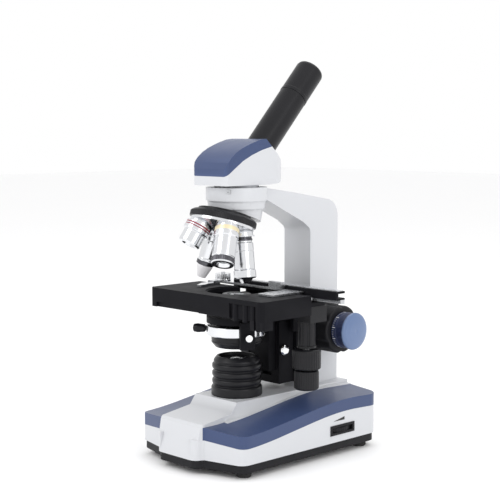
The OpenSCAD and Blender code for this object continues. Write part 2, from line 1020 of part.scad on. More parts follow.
module slide_holder() {
    color("silver")
        difference() {
            union() {
                block(-52, 58, 24, 28.4, 153.6, 155.4);
                block(40, 58, -12, 28.4, 153.6, 155.4);
                block(17, 33, 24, 28.4, 155.4, 161.4);
                block(26, 34, 22.6, 28.4, 156.4, 161);
                translate([hub_x, hub_y - 0.8, 153.6])
                    cylinder(r = 2, h = 10.6);
            }
            block(38, 46, -7.4, -5.4, 150, 160);
            block(38, 46, -1, 1, 150, 160);
        }
}

module clip_finger() {
    color("silver")
        difference() {
            union() {
                translate([hub_x, hub_y - 0.8, 155.7])
                    cylinder(r = 8.4, h = 1.6);
                translate([hub_x, hub_y - 0.8, 157.3])
                    cylinder(r = 7.6, h = 5.7);
                block(hub_x - 4, hub_x + 4, 10, 22, 155.7, 157.3);
                block(hub_x - 4, hub_x + 4, 10, 18.6, 153.7, 157.3);
                slab([[hub_x - 4, 18.6], [hub_x + 4, 18.6], [hub_x + 4, 4], [-38.4, -4], [-38.4, -9],
                    [-42, -11], [hub_x - 4, 2]], 153.7, 155.4);
            }
            translate([hub_x, hub_y - 0.8, 150])
                cylinder(r = 2.05, h = 20);
            for (a = [0:18:359])
                translate([hub_x, hub_y - 0.8, 158])
                    rotate([0, 0, a])
                        translate([7.9, 0, 0])
                            cylinder(r = 0.6, h = 6, $fn = 12);
        }
}

// ---------- condenser ----------

module condenser_carrier() {
    color("dimgray")
        difference() {
            union() {
                translate([0, 0, 124.4])
                    cylinder(r = 27.6, h = 6);
                block(-12, 12, 20, 37.6, 124.4, 130.4);
                block(-12, 12, 29.4, 37.6, 76, 130.4);
                for (x = [-12, 6.4])
                    block(x, x + 5.6, 37, 38.9, 76, 130.4);
                translate([0, cond_y - cond_pitch_r, cond_z])
                    rotate([0, 90, 0])
                        translate([0, 0, -5])
                            linear_extrude(10)
                                polygon(rack_points(-5, 4, 1, 2));
                rotate([0, 0, -26]) {
                    block(21, 32.8, -6.6, 6.6, 124.5, 128);
                    block(28.2, 32.8, -6.6, 6.6, 103.5, 127);
                }
            }
            translate([0, 0, 110])
                cylinder(r = 18.05, h = 40);
            rotate([0, 0, -26])
                translate([10, 0, 114.5])
                    rotate([0, 90, 0])
                        cylinder(r = 1.55, h = 40);
        }
}

module condenser_body() {
    color("silver")
        difference() {
            revolve([[12, 102], [19.6, 102], [23.2, 106.4], [23.2, 112.4], [27, 112.9], [27.6, 113.5],
                [27.6, 121.8], [27, 122.4], [19, 122.4], [18, 124], [18, 139], [13.4, 142],
                [13.4, 149.8], [12.9, 150.4], [9, 150.4], [9, 148], [12, 146], [12, 140], [15, 136],
                [15, 122], [19, 119], [19, 106], [12, 106]]);
            for (z = [107.6, 109.2])
                difference() {
                    translate([0, 0, z])
                        cylinder(r = 30, h = 0.6);
                    translate([0, 0, z - 1])
                        cylinder(r = 22.7, h = 3);
                }
            rotate([0, 0, 212])
                difference() {
                    rotate_extrude()
                        polygon([[18, 115.6], [30, 115.6], [30, 119], [18, 119]]);
                    block(-40, 8, -40, 40, 100, 130);
                    block(-40, 40, -40, -16.5, 100, 130);
                    block(-40, 40, 16.5, 40, 100, 130);
                }
        }
}

module condenser_lens() {
    color("lightcyan", 0.5) {
        translate([0, 0, 148.1])
            cylinder(r = 8.95, h = 2);
        translate([0, 0, 124])
            cylinder(r = 14.9, h = 5);
    }
}

module condenser_screw() {
    color("silver")
        rotate([0, 0, -26])
            translate([27.9, 0, 114.5])
                rotate([0, 90, 0]) {
                    cylinder(r = 1.5, h = 8);
                    translate([0, 0, 5.2])
                        cylinder(r = 3.3, h = 4);
                }
}

module iris_lever() {
    color("black")
        rotate([0, 0, 212]) {
            translate([19.6, 0, 117.3])
                rotate([0, 90, 0])
                    cylinder(r = 1.2, h = 12);
            translate([29, 0, 117.3])
                rotate([0, 90, 0])
                    revolve([[0, 0], [2.2, 0], [3.6, 1.6], [4.2, 8], [3.6, 11.4], [2.6, 12], [0, 12]]);
        }
}

module condenser_shaft() {
    color("silver")
        along_x(cond_y, cond_z) {
            translate([0, 0, -24])
                cylinder(r = 3, h = 43);
            translate([0, 0, -5.6])
                linear_extrude(11.2)
                    polygon(gear_points(10, cond_pitch_r, 1, 270));
            translate([0, 0, 16.3])
                revolve([[0, 0], [5, 0], [5.2, 0.6], [5.2, 2.6], [4, 3.8], [1.6, 4.4], [0, 4.4]]);
        }
}

module condenser_knob() {
    color("black")
        along_x(cond_y, cond_z)
            translate([0, 0, -34])
                difference() {
                    revolve([[0, 0], [8.8, 0], [10, 1.2], [10, 11.8], [9, 13], [6, 13], [6, 16.6],
                        [3.005, 16.6], [3.005, 10], [0, 10]]);
                    for (a = [0:15:359])
                        rotate([0, 0, a])
                            translate([10.3, 0, -1])
                                cylinder(r = 0.8, h = 16, $fn = 16);
                }
}

// ---------- output ----------

place() base_shell();
place() base_plate();
place() wing_cover_left();
place() wing_cover_right();
place() feet();
place() base_screws();
place() collector_housing();
place() collector_lens();
place() lamp_board();
place() driver_board();
place() power_jack();
place() wheel_bezel();
place() arm();
place() bearing_blocks();
place() seat_screw();
place() nosepiece_mount();
place() head_body();
place() head_cover();
place() prism();
place() eyepiece_tube();
place() eyepiece();
place() eye_lens();
place() turret_ring();
place() turret_cone();
place() objective_4x();
place() objective_10x();
place() objective_40x();
place() objective_100x();
place() front_lenses();
place() focus_slide();
place() focus_rack();
place() stage_bracket();
place() stage_plate();
place() y_rack();
place() coarse_shaft();
place() coarse_knob_right();
place() coarse_knob_left();
place() fine_shaft();
place() fine_knob_right();
place() fine_knob_left();
place() stage_top();
place() bar_guide();
place() control_housing();
place() y_shaft();
place() y_knob();
place() x_shaft();
place() x_knob();
place() x_bar();
place() x_rack();
place() scale_strip();
place() slide_holder();
place() clip_finger();
place() condenser_carrier();
place() condenser_body();
place() condenser_lens();
place() condenser_screw();
place() condenser_shaft();
place() condenser_knob();
place() iris_lever();
place() brightness_wheel();
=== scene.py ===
"""The looks of a monocular compound microscope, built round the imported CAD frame.

The script's own sizes are millimetres, and MM turns them into metres. "Bench" coordinates have the
optical axis at x = y = 0, the table at z = 0, +Y towards the arm and -X to the operator's left.
"""

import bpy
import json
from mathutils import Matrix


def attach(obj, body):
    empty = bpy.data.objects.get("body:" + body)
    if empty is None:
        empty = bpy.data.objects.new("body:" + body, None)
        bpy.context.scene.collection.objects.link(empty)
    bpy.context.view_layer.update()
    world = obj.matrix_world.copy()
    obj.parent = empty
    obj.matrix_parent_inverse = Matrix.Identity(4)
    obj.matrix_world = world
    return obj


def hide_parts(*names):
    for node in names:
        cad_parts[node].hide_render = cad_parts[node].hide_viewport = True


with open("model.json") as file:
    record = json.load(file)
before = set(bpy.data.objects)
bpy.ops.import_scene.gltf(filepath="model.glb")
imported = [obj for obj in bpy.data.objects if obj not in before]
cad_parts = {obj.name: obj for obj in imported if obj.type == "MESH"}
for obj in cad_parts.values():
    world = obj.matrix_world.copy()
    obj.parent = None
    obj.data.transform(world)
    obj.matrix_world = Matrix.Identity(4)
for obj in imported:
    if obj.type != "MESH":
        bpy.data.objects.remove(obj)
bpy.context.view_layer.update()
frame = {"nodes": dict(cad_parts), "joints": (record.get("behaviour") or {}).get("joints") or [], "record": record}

import json
import math

import bmesh
import bpy
from mathutils import Matrix, Vector
from mathutils.bvhtree import BVHTree

MM = 0.001
NODES = frame["nodes"]
JOINTS = {joint["name"]: joint for joint in frame["joints"]}
BODY_OF = {node: body for body, nodes in frame["record"]["behaviour"]["bodies"].items() for node in nodes}
SLOT_OF = {part["node"]: part["material_slot"] for part in frame["record"]["subparts"]}
AXIS_X, AXIS_Y = JOINTS["head_turn"]["pos_m"][:2]

# ---------------------------------------------------------------- places


def bench(x, y, z):
    """A point in bench millimetres as a row-frame vector in metres."""
    return Vector((AXIS_X + x * MM, AXIS_Y + y * MM, z * MM))


def bench_frame(x, y, z):
    """A matrix for a part placed upright at a bench point, in millimetres inside."""
    return Matrix.Translation(bench(x, y, z)) @ Matrix.Scale(MM, 4)


def turn_x(degrees):
    return Matrix.Rotation(math.radians(degrees), 4, "X")


def turn_y(degrees):
    return Matrix.Rotation(math.radians(degrees), 4, "Y")


def turn_z(degrees):
    return Matrix.Rotation(math.radians(degrees), 4, "Z")


TURRET_TILT = 17
TURRET_REST = 28
TUBE_TILT = 43
TURRET = Matrix.Translation(Vector(JOINTS["nosepiece_turn"]["pos_m"])) @ turn_x(-TURRET_TILT) @ Matrix.Scale(MM, 4)
TUBE = bench_frame(0, 33, 286.2) @ turn_x(-TUBE_TILT)
ALONG_X = turn_y(90)


def objective_frame(k):
    return TURRET @ turn_z(-TURRET_REST - 90 * k) @ turn_x(TURRET_TILT)


# ---------------------------------------------------------------- materials


def clamped(value):
    return min(1.0, max(0.0, value))


def surface(name, colour, roughness, metallic=0.0, tint=0.05, tint_scale=40.0, rough_spread=0.06,
            rough_scale=90.0, bump=0.1, bump_scale=1600.0, stretch=(1, 1, 1), edge_highlight=0.0, **sockets):
    """A procedural material: colour drift, uneven roughness, a fine relief and, if asked, painted highlights that
    lighten the convex edges.
    """
    material = bpy.data.materials.new(name)
    material.use_nodes = True
    nodes, links = material.node_tree.nodes, material.node_tree.links
    shader = nodes["Principled BSDF"]
    shader.inputs["Metallic"].default_value = metallic
    for socket, value in sockets.items():
        shader.inputs[socket.replace("_", " ")].default_value = value
    place = nodes.new("ShaderNodeTexCoord")
    mapping = nodes.new("ShaderNodeMapping")
    mapping.inputs["Scale"].default_value = stretch
    links.new(place.outputs["Object"], mapping.inputs["Vector"])

    def noise(scale, detail, source):
        texture = nodes.new("ShaderNodeTexNoise")
        texture.inputs["Scale"].default_value = scale
        texture.inputs["Detail"].default_value = detail
        links.new(source, texture.inputs["Vector"])
        return texture.outputs["Fac"]

    drift = nodes.new("ShaderNodeMix")
    drift.data_type = "RGBA"
    drift.inputs[6].default_value = [clamped(c * (1 - tint)) for c in colour] + [1]
    drift.inputs[7].default_value = [clamped(c * (1 + tint)) for c in colour] + [1]
    links.new(noise(tint_scale, 4, place.outputs["Object"]), drift.inputs[0])
    shown = drift.outputs[2]
    # Painted highlight: convex edges, found by pointiness, are lightened towards a brighter copy of the colour.
    if edge_highlight > 0:
        edge = nodes.new("ShaderNodeNewGeometry")
        ramp = nodes.new("ShaderNodeMapRange")
        ramp.inputs["From Min"].default_value = 0.56
        ramp.inputs["From Max"].default_value = 0.72
        ramp.inputs["To Max"].default_value = edge_highlight
        links.new(edge.outputs["Pointiness"], ramp.inputs["Value"])
        highlit_edge = nodes.new("ShaderNodeMix")
        highlit_edge.data_type = "RGBA"
        highlit_edge.inputs[7].default_value = [clamped(c * 1.6 + 0.03) for c in colour] + [1]
        links.new(ramp.outputs["Result"], highlit_edge.inputs[0])
        links.new(shown, highlit_edge.inputs[6])
        shown = highlit_edge.outputs[2]
    links.new(shown, shader.inputs["Base Color"])

    spread = nodes.new("ShaderNodeMapRange")
    spread.inputs["To Min"].default_value = clamped(roughness - rough_spread)
    spread.inputs["To Max"].default_value = clamped(roughness + rough_spread)
    links.new(noise(rough_scale, 5, mapping.outputs["Vector"]), spread.inputs["Value"])
    links.new(spread.outputs["Result"], shader.inputs["Roughness"])

    if bump > 0:
        relief = nodes.new("ShaderNodeBump")
        relief.inputs["Strength"].default_value = bump
        relief.inputs["Distance"].default_value = 0.0001
        links.new(noise(bump_scale, 3, mapping.outputs["Vector"]), relief.inputs["Height"])
        links.new(relief.outputs["Normal"], shader.inputs["Normal"])
    return material


def glass(name, colour):
    """Clear optical glass with a faintly tinted coating and a little dust."""
    return surface(name, colour, 0.04, tint=0.02, rough_spread=0.02, rough_scale=300, bump=0.0,
                   Transmission_Weight=0.92, IOR=1.52, Specular_Tint=(0.9, 0.95, 1.0, 1))


WHITE_PAINT = surface("white_paint", (0.6, 0.61, 0.635), 0.38, tint=0.015, tint_scale=18, rough_spread=0.05,
                      bump=0.12, bump_scale=900, Coat_Weight=0.12, Coat_Roughness=0.12)
BLUE = surface("blue_paint", (0.042, 0.066, 0.155), 0.36, tint=0.06, tint_scale=22, rough_spread=0.05, bump=0.1,
               bump_scale=1100, edge_highlight=0.2, Coat_Weight=0.08, Coat_Roughness=0.16, Specular_IOR_Level=0.35)
KNOB_BLUE = surface("knob_blue", (0.024, 0.033, 0.085), 0.32, tint=0.06, rough_spread=0.05, bump=0.08,
                    Coat_Weight=0.08, Coat_Roughness=0.14, Specular_IOR_Level=0.35)
CAP_BLUE = surface("cap_blue", (0.1, 0.16, 0.31), 0.24, tint=0.05, tint_scale=30, rough_spread=0.05, bump=0.06,
                   bump_scale=700, Coat_Weight=0.5, Coat_Roughness=0.08)
BLACK = surface("black_paint", (0.009, 0.009, 0.011), 0.5, tint=0.18, tint_scale=60, rough_spread=0.08, bump=0.3,
                bump_scale=2300, edge_highlight=0.2, Specular_IOR_Level=0.06)
BLACK_SATIN = surface("black_satin", (0.009, 0.009, 0.011), 0.34, tint=0.15, rough_spread=0.07, bump=0.12,
                      bump_scale=2600, edge_highlight=0.2, Specular_IOR_Level=0.25)
BLACK_PLASTIC = surface("black_plastic", (0.012, 0.012, 0.014), 0.5, tint=0.15, rough_spread=0.08, bump=0.3,
                        bump_scale=1900, edge_highlight=0.2, Specular_IOR_Level=0.18)
RUBBER = surface("rubber", (0.018, 0.018, 0.018), 0.78, tint=0.25, rough_spread=0.1, bump=0.5, bump_scale=1300)
STEEL = surface("brushed_steel", (0.56, 0.57, 0.59), 0.28, 1.0, tint=0.06, rough_spread=0.1, rough_scale=500,
                bump=0.08, bump_scale=1200, stretch=(1, 1, 9))
SATIN_CHROME = surface("satin_chrome", (0.74, 0.75, 0.77), 0.17, 1.0, tint=0.03, rough_spread=0.05, rough_scale=160,
                       bump=0.03, bump_scale=900)
CHROME = surface("chrome", (0.82, 0.83, 0.84), 0.07, 1.0, tint=0.02, rough_spread=0.035, rough_scale=120, bump=0.0)
ALUMINIUM = surface("aluminium", (0.68, 0.69, 0.71), 0.26, 1.0, tint=0.04, rough_spread=0.06, rough_scale=400,
                    bump=0.06, bump_scale=1800, stretch=(1, 1, 12))
BRASS = surface("brass", (0.62, 0.47, 0.2), 0.28, 1.0, tint=0.1, rough_spread=0.08, bump=0.1)
GOLD_BAND = surface("gold_band", (0.78, 0.68, 0.45), 0.34, 0.4, tint=0.05, rough_spread=0.05, bump=0.05)
RED_BAND = surface("red_band", (0.26, 0.012, 0.035), 0.35, tint=0.1, rough_spread=0.05, bump=0.05)
IVORY = surface("ivory", (0.74, 0.73, 0.75), 0.35, tint=0.03, rough_spread=0.05, bump=0.05)
GUNMETAL = surface("gunmetal", (0.1, 0.1, 0.11), 0.24, 1.0, tint=0.08, rough_spread=0.06, bump=0.05)
MARK_WHITE = surface("mark_white", (0.75, 0.76, 0.78), 0.5, tint=0.04, bump=0.1)
MARK_BLACK = surface("mark_black", (0.02, 0.02, 0.02), 0.5, tint=0.1, bump=0.1)
GLASS = glass("optical_glass", (0.93, 0.97, 0.98))
BOARD = surface("circuit_board", (0.02, 0.16, 0.07), 0.35, tint=0.35, tint_scale=420, rough_spread=0.1, bump=0.3,
                bump_scale=500)
FLOOR = surface("pale_floor", (0.965, 0.965, 0.968), 0.8, tint=0.004, tint_scale=3, rough_spread=0.05, bump=0.0,
                Specular_IOR_Level=0.1)

SLOT_MATERIAL = {"white_paint": WHITE_PAINT, "blue_plastic": BLUE, "black_metal": BLACK_SATIN,
                 "black_plastic": BLACK_PLASTIC, "rubber": RUBBER, "steel": STEEL, "chrome": SATIN_CHROME,
                 "brass": BRASS, "aluminium": ALUMINIUM, "glass": GLASS, "board": BOARD}

# ---------------------------------------------------------------- mesh helpers

WELD_DISTANCE = 3e-6  # metres: CAD vertices nearer than this are one
SHORTEST_EDGE = 2e-5  # metres: edges shorter than this are not rounded
FLAT_ANGLE = 0.6  # degrees: facets that meet flatter than this are one face
CAST_ANGLE = 24  # degrees: edges sharper than this are rounded on a casting
SOFTEN_ANGLE = 30  # degrees: the same on a CAD node that stays
SHADING_ANGLE = 38  # degrees: edges sharper than this break the shading
NORMAL_WEIGHT = 60
MOST_SIDES = 8  # faces with more sides than this are cut into triangles
LOWEST_OUTWARD = -0.25  # edges that face further down than this belong to the open bottom
RAY_START = 0.3  # mm from the edge at which the test ray sets out


def piece(name, mesh, body, materials, node=None):
    """Links a mesh as a named piece that rides on a body and, if a node is named, stands for it."""
    obj = bpy.data.objects.new(name, mesh)
    bpy.context.scene.collection.objects.link(obj)
    for material in materials:
        mesh.materials.append(material)
    for face in mesh.polygons:
        face.use_smooth = True
    weighted(obj)
    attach(obj, body)
    if node:
        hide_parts(node)
    return obj


def weigh_normals(obj):
    """Larger faces lead the shading, so flat faces look flat beside rounded edges."""
    normals = obj.modifiers.new("normals", "WEIGHTED_NORMAL")
    normals.keep_sharp = True
    normals.weight = NORMAL_WEIGHT


def weighted(obj):
    """Flat faces keep flat shading and rounded edges shade smoothly."""
    obj.data.set_sharp_from_angle(angle=math.radians(SHADING_ANGLE))
    weigh_normals(obj)


def closed_mesh(name, work):
    """The finished mesh of a working bmesh, which is then let go."""
    mesh = bpy.data.meshes.new(name)
    work.to_mesh(mesh)
    work.free()
    return mesh


def add_bar(work, centre, size, turn=Matrix()):
    """A small block in mm, for a printed line."""
    cell = bmesh.ops.create_cube(work, size=1.0)
    bmesh.ops.transform(work, verts=cell["verts"],
                        matrix=turn @ Matrix.Translation(centre) @ Matrix.Diagonal((*size, 1)))


def eased(points, radius, closed):
    """The outline with each corner replaced by a short curve of three points."""
    out = []
    count = len(points)
    for i, corner in enumerate(points):
        if not closed and i in (0, count - 1):
            out.append(tuple(corner))
            continue
        here = Vector(corner)
        before, after = Vector(points[i - 1]), Vector(points[(i + 1) % count])
        back, on = before - here, after - here
        if back.length < 1e-6 or on.length < 1e-6:
            continue
        reach = min(radius, 0.42 * back.length, 0.42 * on.length)
        a, b = here + back.normalized() * reach, here + on.normalized() * reach
        middle = (a + b) / 4 + here / 2
        out += [tuple(a), tuple(middle), tuple(b)]
    return out


def turned(name, outline, place, body, materials, node=None, ease=0.25, steps=96, closed=False,
           flutes=(), bands=()):
    """A part turned about its +Z from (radius, height) points in mm, outside first when it is a ring.

    flutes are (low, high, least radius, count, depth, narrowness): grooves along the axis between two
    heights.
    bands are (low, high, least radius, material index): a finish between two heights.
    """
    profile = eased(outline, ease, closed)
    work = bmesh.new()
    rings = []
    for radius, height in profile:
        if radius < 1e-6:
            rings.append([work.verts.new(place @ Vector((0, 0, height)))])
            continue
        ring = []
        for i in range(steps):
            angle = 2 * math.pi * i / steps
            r = radius
            for low, high, least, count, depth, narrowness in flutes:
                if low <= height <= high and radius >= least:
                    r -= depth * (0.5 - 0.5 * math.cos(count * angle)) ** narrowness
            ring.append(work.verts.new(place @ Vector((r * math.cos(angle), r * math.sin(angle), height))))
        rings.append(ring)
    pairs = list(zip(range(len(rings) - 1), range(1, len(rings))))
    if closed:
        pairs.append((len(rings) - 1, 0))
    for one, two in pairs:
        a, b = rings[one], rings[two]
        height = (profile[one][1] + profile[two][1]) / 2
        radius = (profile[one][0] + profile[two][0]) / 2
        index = 0
        for low, high, least, band in bands:
            if low <= height <= high and radius >= least:
                index = band
        for i in range(steps):
            j = (i + 1) % steps
            if len(a) == 1 and len(b) == 1:
                continue
            if len(a) == 1:
                corners = [a[0], b[i], b[j]]
            elif len(b) == 1:
                corners = [a[i], b[0], a[j]]
            else:
                corners = [a[i], b[i], b[j], a[j]]
            work.faces.new(corners).material_index = index
    bmesh.ops.remove_doubles(work, verts=work.verts, dist=1e-7)
    bmesh.ops.recalc_face_normals(work, faces=work.faces)
    return piece(name, closed_mesh(name, work), body, materials, node)


def outward(edge, tree):
    """Is this a convex edge?"""
    return edge.is_convex


def shoulder(edge, tree):
    """Is this one of the long top edges along the sides of the head cover?"""
    across = sorted(edge.link_faces, key=lambda face: abs(face.normal.x))
    return (edge.is_convex and abs(across[0].normal.x) < 0.2 and abs(across[1].normal.x) > 0.8
            and across[0].normal.z > 0.12)


def exposed(edge, tree):
    """Is this a convex edge on the outside, not in a cavity and not round the open bottom?"""
    if not edge.is_convex:
        return False
    out = (edge.link_faces[0].normal + edge.link_faces[1].normal).normalized()
    if out.z < LOWEST_OUTWARD:
        return False
    middle = (edge.verts[0].co + edge.verts[1].co) / 2
    return tree.ray_cast(middle + out * RAY_START * MM, out)[0] is None


def cast(node, name, materials, rules):
    """A copy of a CAD node with its edges rounded.

    rules are (radius in mm, segments, test): the sharp edges that the test passes get that radius.
    """
    work = bmesh.new()
    work.from_mesh(NODES[node].data)
    bmesh.ops.remove_doubles(work, verts=work.verts, dist=WELD_DISTANCE)
    bmesh.ops.dissolve_limit(work, angle_limit=math.radians(FLAT_ANGLE), verts=work.verts, edges=work.edges,
                             use_dissolve_boundaries=False)
    bmesh.ops.recalc_face_normals(work, faces=work.faces)
    for radius, segments, test in rules:
        work.normal_update()
        tree = BVHTree.FromBMesh(work)
        edges = [e for e in work.edges if len(e.link_faces) == 2
                 and e.calc_face_angle(0) > math.radians(CAST_ANGLE) and e.calc_length() > SHORTEST_EDGE
                 and test(e, tree)]
        if edges:
            bmesh.ops.bevel(work, geom=edges, offset=radius * MM, offset_type="OFFSET", segments=segments,
                            profile=0.5, affect="EDGES", clamp_overlap=True, material=-1)
    bmesh.ops.triangulate(work, faces=[f for f in work.faces if len(f.verts) > MOST_SIDES])
    return piece(name, closed_mesh(name, work), BODY_OF[node], materials, node)


def soften(node, width, segments=2, material=None):
    """A CAD node that stays: its edges get a small real radius, and it gets its finish."""
    obj = NODES[node]
    obj.data.materials.clear()
    obj.data.materials.append(material or SLOT_MATERIAL[SLOT_OF[node]])
    for face in obj.data.polygons:
        face.material_index = 0
        face.use_smooth = True
    if "custom_normal" in obj.data.attributes:
        obj.data.attributes.remove(obj.data.attributes["custom_normal"])
    weld = obj.modifiers.new("weld", "WELD")
    weld.merge_threshold = WELD_DISTANCE
    flat = obj.modifiers.new("flat", "DECIMATE")
    flat.decimate_type = "DISSOLVE"
    flat.angle_limit = math.radians(FLAT_ANGLE)
    bevel = obj.modifiers.new("bevel", "BEVEL")
    bevel.width = width * MM
    bevel.segments = segments
    bevel.limit_method = "ANGLE"
    bevel.angle_limit = math.radians(SOFTEN_ANGLE)
    bevel.use_clamp_overlap = True
    weigh_normals(obj)


# ---------------------------------------------------------------- camera, light and floor

VIEW_AZIMUTH, VIEW_ELEVATION, VIEW_DISTANCE = 45.7, 5.7, 1.110
VIEW_TARGET = bench(8.5, 8.7, 190.1)


def make_camera():
    a, e = math.radians(VIEW_AZIMUTH), math.radians(VIEW_ELEVATION)
    back = Vector((math.sin(a) * math.cos(e), -math.cos(a) * math.cos(e), math.sin(e)))
    data = bpy.data.cameras.new("camera")
    data.lens = 88
    data.sensor_width = 36
    camera = bpy.data.objects.new("camera", data)
    bpy.context.scene.collection.objects.link(camera)
    camera.location = VIEW_TARGET + back * VIEW_DISTANCE
    camera.rotation_mode = "QUATERNION"
    camera.rotation_quaternion = (-back).to_track_quat("-Z", "Y")
    bpy.context.scene.camera = camera


def softbox(name, place, aim, size, power):
    """A rectangular area light at a place, turned to its aim, both in metres."""
    light = bpy.data.lights.new(name, "AREA")
    light.shape = "RECTANGLE"
    light.size, light.size_y = size
    light.energy = power
    obj = bpy.data.objects.new(name, light)
    bpy.context.scene.collection.objects.link(obj)
    obj.location = place
    obj.rotation_mode = "QUATERNION"
    obj.rotation_quaternion = (Vector(aim) - Vector(place)).to_track_quat("-Z", "Y")


def make_light():
    world = bpy.data.worlds.new("studio")
    world.use_nodes = True
    world.node_tree.nodes["Background"].inputs["Color"].default_value = (1, 1, 1, 1)
    world.node_tree.nodes["Background"].inputs["Strength"].default_value = 1.0
    bpy.context.scene.world = world
    softbox("key", (-0.35, -1.3, 1.1), (0, 0, 0.16), (0.9, 0.9), 7)
    softbox("side", (1.5, -0.15, 0.75), (0, 0, 0.18), (0.7, 1.1), 5)
    softbox("top", (0.1, 0.5, 1.5), (0, 0, 0.15), (1.4, 1.0), 4)
    bpy.context.scene.view_settings.view_transform = "Standard"


def make_floor():
    work = bmesh.new()
    bmesh.ops.create_grid(work, x_segments=4, y_segments=4, size=6.0)
    mesh = closed_mesh("floor", work)
    mesh.materials.append(FLOOR)
    floor = bpy.data.objects.new("floor", mesh)
    bpy.context.scene.collection.objects.link(floor)


make_camera()
make_light()
make_floor()

# ---------------------------------------------------------------- base

# The front of the nose: where its slope starts, and how far it leans back per mm of height.
NOSE_FOOT_Y, NOSE_FOOT_Z, NOSE_LEAN = -75.45, 14, 0.2545


def brightness_mark():
    """The dark wedge over the wheel's window, broad at the bright end."""
    work = bmesh.new()
    rim = [[work.verts.new((x, y, z)) for y, z in ((57.5, 33), (73, 32.8), (73, 35.8))] for x in (67.3, 67.62)]
    work.faces.new(rim[0][::-1])
    work.faces.new(rim[1])
    for i in range(3):
        work.faces.new((rim[0][i], rim[0][(i + 1) % 3], rim[1][(i + 1) % 3], rim[1][i]))
    bmesh.ops.recalc_face_normals(work, faces=work.faces)
    work.transform(bench_frame(0, 0, 0))
    piece("brightness_mark", closed_mesh("wedge", work), "stand", [MARK_BLACK])


def nose_backing():
    """A thin wall behind the front of the nose: the CAD shell has two narrow slits there."""
    work = bmesh.new()
    rows = [[work.verts.new((x, NOSE_FOOT_Y + NOSE_LEAN * (z - NOSE_FOOT_Z) + depth, z)) for x in (-21, 21)]
            for depth in (0, 0.6) for z in (20, 32)]
    low, high, low_back, high_back = rows
    for ring in ((low, high), (high, high_back), (high_back, low_back), (low_back, low)):
        work.faces.new((ring[0][0], ring[0][1], ring[1][1], ring[1][0]))
    for end in (0, 1):
        work.faces.new((low[end], high[end], high_back[end], low_back[end]))
    bmesh.ops.recalc_face_normals(work, faces=work.faces)
    work.transform(bench_frame(0, 0, 0))
    piece("nose_backing", closed_mesh("backing", work), "stand", [WHITE_PAINT])


def make_base():
    brightness_mark()
    nose_backing()
    cast("base_shell", "base_casting", [WHITE_PAINT], rules=((1.6, 4, exposed),))
    cast("wing_cover_left", "left_cover", [BLUE], rules=((1.5, 4, outward),))
    cast("wing_cover_right", "right_cover", [BLUE], rules=((1.5, 4, outward),))
    soften("base_plate", 0.7, 3)
    for i, (x, y) in enumerate([(-55, -44), (55, -44), (-55, 108), (55, 108)]):
        foot = turned(f"foot_{i + 1}", [(0, 0.9), (3.6, 0.9), (4, 0), (5.9, 0), (6.6, 0.8), (6.6, 3.2), (6.2, 3.5),
                                        (6.6, 3.8), (6.6, 5.6), (0, 5.6)], bench_frame(x, y, 0), "stand", [RUBBER],
                      steps=64)
        if i == 0:
            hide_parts("feet")
    soften("base_screws", 0.15)
    soften("wheel_bezel", 0.3)
    soften("brightness_wheel", 0.15)
    soften("power_jack", 0.2)
    soften("driver_board", 0.1)
    soften("lamp_board", 0.1)


def make_lamp():
    z0 = 57.5
    ribs = [(13, 0), (23, 0), (23.4, 0.8), (23.4, 7.4), (22.8, 8.6), (21.2, 9.2)]
    for low in (10.2, 17.2, 24.2):
        ribs += [(21.2, low), (22.4, low + 0.8), (22.7, low + 2.6), (22.6, low + 4.2), (21.9, low + 5.2),
                 (20.9, low + 5.7)]
    ribs += [(20.9, 30.6), (21.3, 31.2), (21, 32.6), (18.4, 36), (16.8, 36), (16.6, 33.4), (15.5, 32.4), (15.5, 6),
             (13, 4)]
    turned("lamp_barrel", ribs, bench_frame(0, 0, z0), "stand", [BLACK_SATIN], "collector_housing", closed=True,
           ease=0.5)
    turned("lamp_glass", [(0, 34.2), (5, 33.7), (9.5, 32.1), (12.8, 29.8), (15.2, 26.6), (15.2, 24.2), (0, 24.2)],
           bench_frame(0, 0, z0), "stand", [GLASS], "collector_lens", ease=2.0)
    turned("lamp_reflector", [(15.3, 23.4), (15.3, 12), (5, 8), (5, 8.6), (14.6, 12.6), (14.6, 23.4)],
           bench_frame(0, 0, z0), "stand", [SATIN_CHROME], closed=True)
    turned("lamp_diffuser", [(0, 22.8), (14.4, 22.8), (14.4, 21.6), (0, 21.6)], bench_frame(0, 0, z0), "stand",
           [MARK_WHITE])


make_base()
make_lamp()

# ---------------------------------------------------------------- stand and head


def make_stand():
    cast("arm", "arm_casting", [WHITE_PAINT], rules=((2.2, 4, outward),))
    soften("bearing_blocks", 0.6, 3)
    soften("seat_screw", 0.2)
    soften("nosepiece_mount", 0.3)


def make_head():
    cast("head_body", "head_casting", [WHITE_PAINT], rules=((1.3, 4, outward),))
    cast("head_cover", "head_top_cover", [BLUE], rules=((5.5, 6, shoulder), (0.9, 3, outward)))
    soften("prism", 0.2)
    turned("eyepiece_tube_barrel", [(13.4, -24), (13.4, 58.2), (11.6, 58.2), (11.6, -24)], TUBE, "head",
           [BLACK_SATIN], "eyepiece_tube", closed=True, ease=0.4)
    turned("eyepiece_barrel", [(9.6, 28), (11.54, 28), (11.54, 58.3), (13.5, 58.3), (13.7, 58.6), (13.7, 61.4),
                               (13.5, 61.7), (13.5, 91.4), (12.7, 93.6), (11.6, 93.6), (8, 90.4), (8, 86), (9.6, 84)],
           TUBE, "ocular", [BLACK_SATIN], "eyepiece", closed=True, ease=0.45)
    turned("eye_glass", [(0, 89.6), (4, 89.35), (7.95, 88.4), (7.95, 87), (0, 87)], TUBE, "ocular", [GLASS],
           "eye_lens", ease=0.6)


make_stand()
make_head()

# ---------------------------------------------------------------- nosepiece


